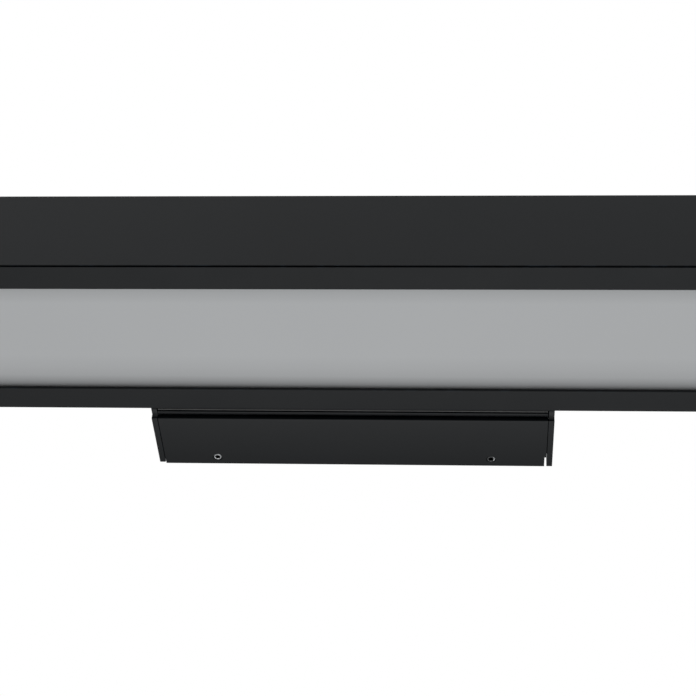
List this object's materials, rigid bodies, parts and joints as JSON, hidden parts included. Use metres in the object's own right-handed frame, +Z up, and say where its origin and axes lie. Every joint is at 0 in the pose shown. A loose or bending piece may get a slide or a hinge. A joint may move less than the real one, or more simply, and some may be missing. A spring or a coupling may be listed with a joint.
{
  "type": "vanity light bar",
  "caption": "Wall-mounted LED vanity light bar: long black box bar with an opal diffuser underneath, carried on a shallow wall canopy clamped to a hidden bracket by set screws.",
  "frame": {"origin": "middle of the wall bracket's back face, in the plane of the wall", "axes": "+X along the bar, +Y into the wall, +Z up; the bar stands out from the wall towards -Y"},
  "size_m": [0.61, 0.138, 0.054],
  "materials": {
    "bar_black": "fine black powder coat on extruded aluminium",
    "canopy_black": "fine black powder coat on folded steel sheet",
    "opal_acrylic": "satin opal acrylic",
    "reflector_white": "matt white",
    "plain_aluminium": "mill finish",
    "board_white": "white solder mask",
    "zinc_steel": "zinc plated",
    "bare_screw_steel": "bright stainless",
    "black_screw": "black oxide",
    "earth_brass": "plain brass",
    "black_rubber": "matt",
    "grey_rubber": "matt",
    "driver_white": "fine-grained moulding",
    "terminal_cream": "satin moulding",
    "lead_brown": "satin wire sleeve",
    "lead_blue": "satin wire sleeve",
    "lead_green": "satin green and yellow wire sleeve",
    "lead_red": "satin wire sleeve",
    "lead_black": "satin wire sleeve"
  },
  "bodies": {
    "wall_bracket": {"wall_bracket": "zinc_steel", "bracket_earth_screw": "earth_brass"},
    "fixture": {"bar_housing": "bar_black", "board_jumper": "lead_red", "canopy_body": "canopy_black", "canopy_earth_screw": "earth_brass", "canopy_end_left": "canopy_black", "canopy_end_right": "canopy_black", "canopy_end_screw_1": "black_screw", "canopy_end_screw_2": "black_screw", "canopy_end_screw_3": "black_screw", "canopy_end_screw_4": "black_screw", "cap_screw_left_1": "black_screw", "cap_screw_left_2": "black_screw", "cap_screw_left_3": "black_screw", "cap_screw_left_4": "black_screw", "cap_screw_right_1": "black_screw", "cap_screw_right_2": "black_screw", "cap_screw_right_3": "black_screw", "cap_screw_right_4": "black_screw", "coupling_bolt_1": "zinc_steel", "coupling_bolt_2": "zinc_steel", "coupling_bolt_3": "zinc_steel", "coupling_bolt_4": "zinc_steel", "coupling_nut_1": "zinc_steel", "coupling_nut_2": "zinc_steel", "coupling_nut_3": "zinc_steel", "coupling_nut_4": "zinc_steel", "diffuser": "opal_acrylic", "driver_case": "driver_white", "driver_screw_left": "zinc_steel", "driver_screw_right": "zinc_steel", "earth_lead": "lead_green", "end_cap_left": "bar_black", "end_cap_right": "bar_black", "led_board_front": "board_white", "led_board_rear": "board_white", "led_lead_minus": "lead_black", "led_lead_plus": "lead_red", "led_tray": "plain_aluminium", "lens_rail_front": "bar_black", "lens_rail_rear": "bar_black", "live_lead": "lead_brown", "neutral_lead": "lead_blue", "reflector_front": "reflector_white", "reflector_rear": "reflector_white", "seat_gasket": "grey_rubber", "spacer_plate": "canopy_black", "terminal_block": "terminal_cream", "terminal_screw": "zinc_steel", "tray_screw_1": "zinc_steel", "tray_screw_2": "zinc_steel", "tray_screw_3": "zinc_steel", "tray_screw_4": "zinc_steel", "wire_grommet": "black_rubber"},
    "set_screw_left": {"set_screw_left": "bare_screw_steel"},
    "set_screw_right": {"set_screw_right": "bare_screw_steel"}
  },
  "joints": [
    {"name": "lift_off", "type": "slide", "parent": "wall_bracket", "child": "fixture", "axis": [0, -1, 0], "range_m": [0, 0.03]},
    {"name": "set_screw_left_travel", "type": "slide", "parent": "fixture", "child": "set_screw_left", "axis": [0, 0, -1], "range_m": [0, 0.004]},
    {"name": "set_screw_right_travel", "type": "slide", "parent": "fixture", "child": "set_screw_right", "axis": [0, 0, -1], "range_m": [0, 0.004]}
  ]
}
